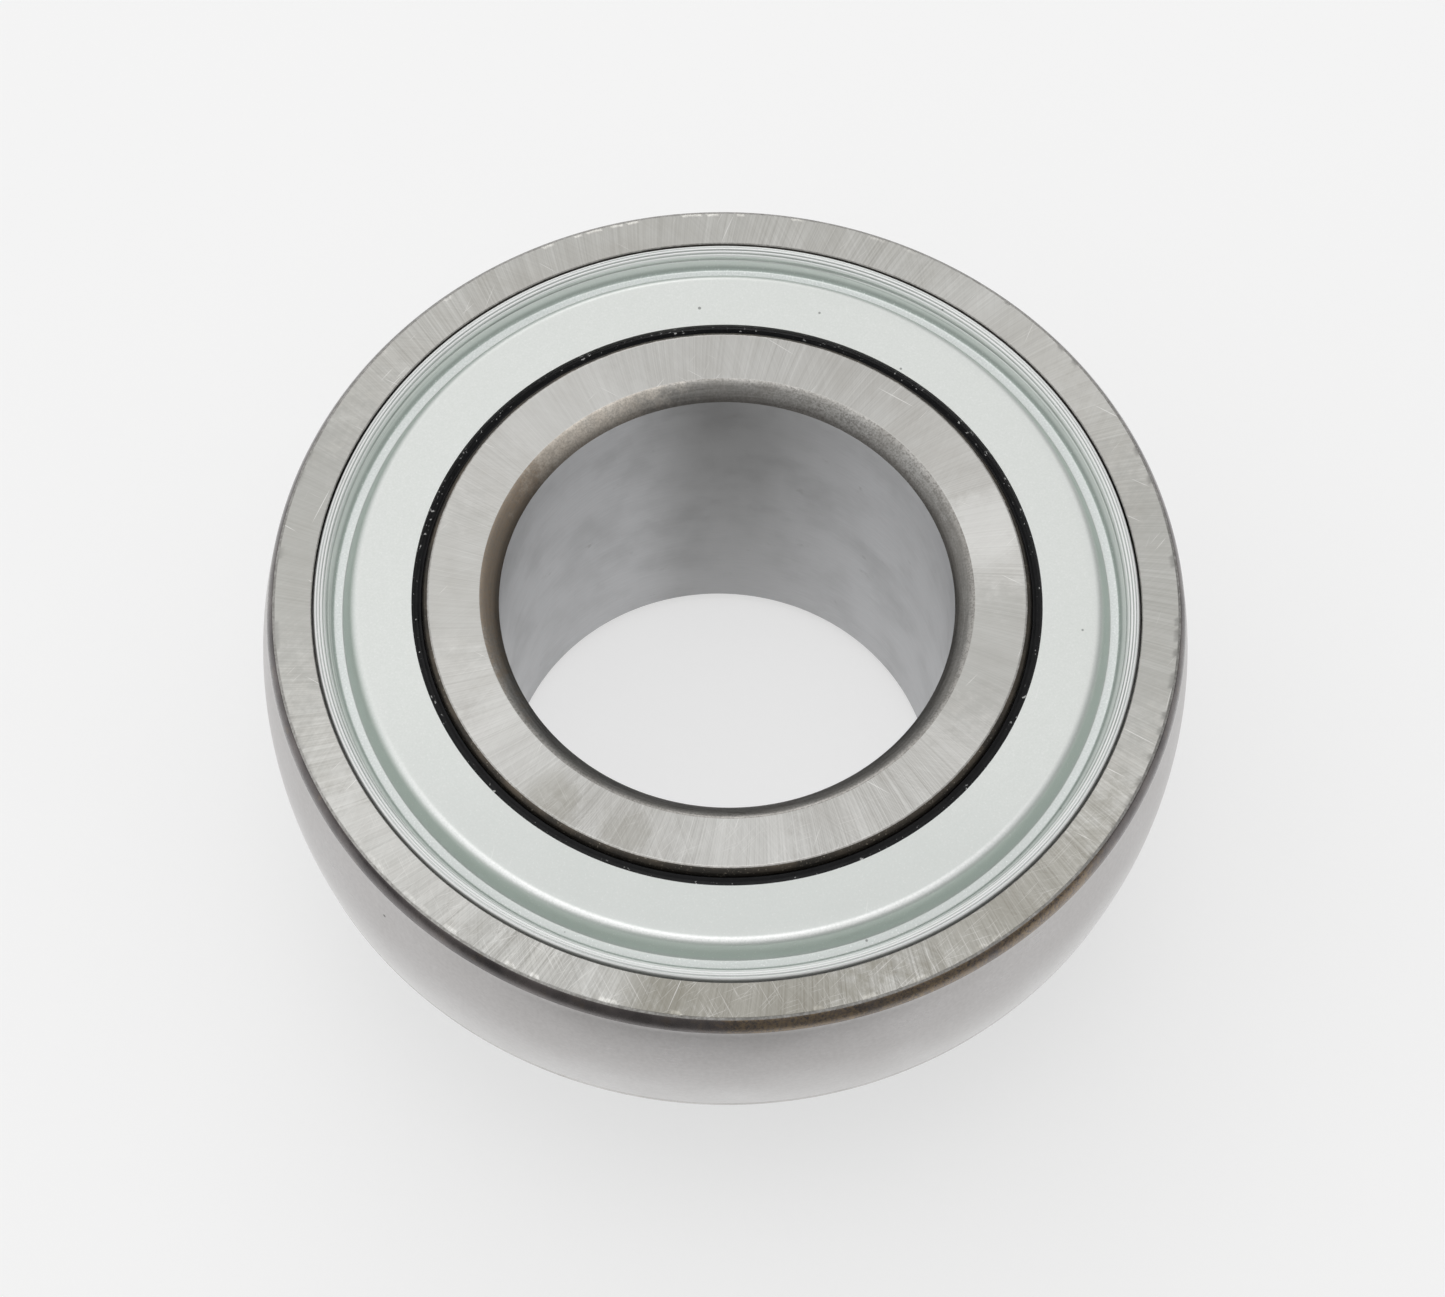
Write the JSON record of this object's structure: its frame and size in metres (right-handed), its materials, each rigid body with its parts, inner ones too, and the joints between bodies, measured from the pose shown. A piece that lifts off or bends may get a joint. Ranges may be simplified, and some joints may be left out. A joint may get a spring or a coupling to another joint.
{
  "type": "insert ball bearing",
  "caption": "Sealed insert ball bearing with a spherical outer ring and an inner ring extended on one side, for a shaft in a self-aligning housing.",
  "frame": {"origin": "centre of the spherical outside, on the shaft axis, in the middle of the outer ring's width", "axes": "+Z along the shaft axis, out of the short side of the inner ring; the extended side points to -Z"},
  "size_m": [0.072, 0.072, 0.035],
  "materials": {
    "ring_steel": "ground hardened bearing steel",
    "screw_steel": "black oxide alloy steel",
    "ball_steel": "polished hardened bearing steel",
    "cage_steel": "pressed and tumbled sheet steel",
    "rivet_steel": "bright steel",
    "zinc_sheet": "zinc plated pressed sheet steel, satin",
    "nitrile_rubber": "black moulded nitrile rubber"
  },
  "bodies": {
    "outer": {"outer_ring": "ring_steel", "upper_seal_outer_washer": "zinc_sheet", "upper_seal_lip": "nitrile_rubber", "upper_seal_inner_washer": "zinc_sheet", "lower_seal_outer_washer": "zinc_sheet", "lower_seal_lip": "nitrile_rubber", "lower_seal_inner_washer": "zinc_sheet"},
    "inner": {"inner_ring": "ring_steel", "grub_screws": "screw_steel"},
    "cage": {"cage_upper": "cage_steel", "cage_lower": "cage_steel", "cage_rivets": "rivet_steel"},
    "ball_1": {"ball_1": "ball_steel"},
    "ball_2": {"ball_2": "ball_steel"},
    "ball_3": {"ball_3": "ball_steel"},
    "ball_4": {"ball_4": "ball_steel"},
    "ball_5": {"ball_5": "ball_steel"},
    "ball_6": {"ball_6": "ball_steel"},
    "ball_7": {"ball_7": "ball_steel"},
    "ball_8": {"ball_8": "ball_steel"},
    "ball_9": {"ball_9": "ball_steel"}
  },
  "joints": [
    {"name": "inner_spin", "type": "hinge", "parent": "outer", "child": "inner", "pos_m": [0, 0, 0], "axis": [0, 0, 1], "continuous": true},
    {"name": "cage_spin", "type": "hinge", "parent": "outer", "child": "cage", "pos_m": [0, 0, 0], "axis": [0, 0, 1], "continuous": true},
    {"name": "ball_1_spin", "type": "hinge", "parent": "cage", "child": "ball_1", "pos_m": [0.02675, 0, 0], "axis": [0, 0, 1], "continuous": true},
    {"name": "ball_2_spin", "type": "hinge", "parent": "cage", "child": "ball_2", "pos_m": [0.02049, 0.01719, 0], "axis": [0, 0, 1], "continuous": true},
    {"name": "ball_3_spin", "type": "hinge", "parent": "cage", "child": "ball_3", "pos_m": [0.00465, 0.02634, 0], "axis": [0, 0, 1], "continuous": true},
    {"name": "ball_4_spin", "type": "hinge", "parent": "cage", "child": "ball_4", "pos_m": [-0.01337, 0.02317, 0], "axis": [0, 0, 1], "continuous": true},
    {"name": "ball_5_spin", "type": "hinge", "parent": "cage", "child": "ball_5", "pos_m": [-0.02514, 0.00915, 0], "axis": [0, 0, 1], "continuous": true},
    {"name": "ball_6_spin", "type": "hinge", "parent": "cage", "child": "ball_6", "pos_m": [-0.02514, -0.00915, 0], "axis": [0, 0, 1], "continuous": true},
    {"name": "ball_7_spin", "type": "hinge", "parent": "cage", "child": "ball_7", "pos_m": [-0.01337, -0.02317, 0], "axis": [0, 0, 1], "continuous": true},
    {"name": "ball_8_spin", "type": "hinge", "parent": "cage", "child": "ball_8", "pos_m": [0.00465, -0.02634, 0], "axis": [0, 0, 1], "continuous": true},
    {"name": "ball_9_spin", "type": "hinge", "parent": "cage", "child": "ball_9", "pos_m": [0.02049, -0.01719, 0], "axis": [0, 0, 1], "continuous": true}
  ],
  "couplings": [
    {"joint": "cage_spin", "follows": "inner_spin", "ratio": 0.39615},
    {"joint": "ball_1_spin", "follows": "inner_spin", "ratio": -2.3033},
    {"joint": "ball_2_spin", "follows": "inner_spin", "ratio": -2.3033},
    {"joint": "ball_3_spin", "follows": "inner_spin", "ratio": -2.3033},
    {"joint": "ball_4_spin", "follows": "inner_spin", "ratio": -2.3033},
    {"joint": "ball_5_spin", "follows": "inner_spin", "ratio": -2.3033},
    {"joint": "ball_6_spin", "follows": "inner_spin", "ratio": -2.3033},
    {"joint": "ball_7_spin", "follows": "inner_spin", "ratio": -2.3033},
    {"joint": "ball_8_spin", "follows": "inner_spin", "ratio": -2.3033},
    {"joint": "ball_9_spin", "follows": "inner_spin", "ratio": -2.3033}
  ]
}
